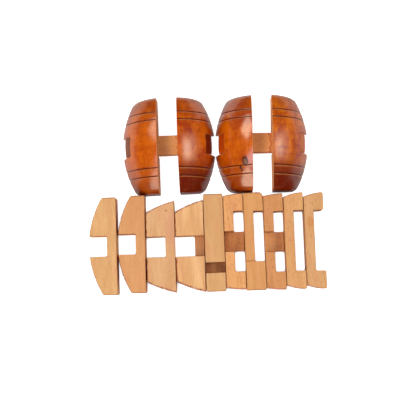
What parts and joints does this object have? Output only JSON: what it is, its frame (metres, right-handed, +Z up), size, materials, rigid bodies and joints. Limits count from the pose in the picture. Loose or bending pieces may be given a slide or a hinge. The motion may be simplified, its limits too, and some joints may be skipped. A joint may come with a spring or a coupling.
{
  "type": "wooden barrel burr puzzle",
  "caption": "Interlocking wooden barrel puzzle taken apart and laid out: stained turned halves with hoop grooves behind a row of notched raw sticks and staves.",
  "frame": {"origin": "middle of the laid-out set, on the surface that it lies on", "axes": "+X along the row of sticks to the right, +Y from the row towards the two halves, +Z up"},
  "size_m": [0.1752, 0.1492, 0.0275],
  "materials": {
    "stained_cheek": "red-brown stain under glossy lacquer outside, raw on the sawn faces",
    "rail": "raw sawn wood, stained and lacquered at both ends",
    "stave": "raw planed wood, stained and lacquered on the barrel's outside",
    "stick": "raw planed wood, stained and lacquered at the ends"
  },
  "bodies": {
    "left_half": {"left_half_left_cheek": "stained_cheek", "left_half_cross_rail": "rail", "left_half_right_cheek": "stained_cheek"},
    "right_half": {"right_half_left_cheek": "stained_cheek", "right_half_cross_rail": "rail", "right_half_right_cheek": "stained_cheek"},
    "side_stave_1": {"side_stave_1": "stave"},
    "side_stave_2": {"side_stave_2": "stave"},
    "head_stave_1": {"head_stave_1": "stave"},
    "head_stave_2": {"head_stave_2": "stave"},
    "key_stick": {"key_stick": "stick"},
    "cross_stick_1": {"cross_stick_1": "stick"},
    "hook_stick": {"hook_stick": "stick"},
    "cross_stick_2": {"cross_stick_2": "stick"},
    "frame_stick_1": {"frame_stick_1": "stick"},
    "frame_stick_2": {"frame_stick_2": "stick"}
  },
  "joints": [
    {"name": "right_half_lift", "type": "slide", "parent": "left_half", "child": "right_half", "axis": [0, 0, 1], "range_m": [0, 0.06]},
    {"name": "side_stave_1_lift", "type": "slide", "parent": "left_half", "child": "side_stave_1", "axis": [0, 0, 1], "range_m": [0, 0.06]},
    {"name": "side_stave_2_lift", "type": "slide", "parent": "left_half", "child": "side_stave_2", "axis": [0, 0, 1], "range_m": [0, 0.06]},
    {"name": "head_stave_1_lift", "type": "slide", "parent": "left_half", "child": "head_stave_1", "axis": [0, 0, 1], "range_m": [0, 0.06]},
    {"name": "head_stave_2_lift", "type": "slide", "parent": "left_half", "child": "head_stave_2", "axis": [0, 0, 1], "range_m": [0, 0.06]},
    {"name": "key_stick_lift", "type": "slide", "parent": "left_half", "child": "key_stick", "axis": [0, 0, 1], "range_m": [0, 0.06]},
    {"name": "cross_stick_1_lift", "type": "slide", "parent": "left_half", "child": "cross_stick_1", "axis": [0, 0, 1], "range_m": [0, 0.06]},
    {"name": "hook_stick_lift", "type": "slide", "parent": "left_half", "child": "hook_stick", "axis": [0, 0, 1], "range_m": [0, 0.06]},
    {"name": "cross_stick_2_lift", "type": "slide", "parent": "left_half", "child": "cross_stick_2", "axis": [0, 0, 1], "range_m": [0, 0.06]},
    {"name": "frame_stick_1_lift", "type": "slide", "parent": "left_half", "child": "frame_stick_1", "axis": [0, 0, 1], "range_m": [0, 0.06]},
    {"name": "frame_stick_2_lift", "type": "slide", "parent": "left_half", "child": "frame_stick_2", "axis": [0, 0, 1], "range_m": [0, 0.06]}
  ]
}
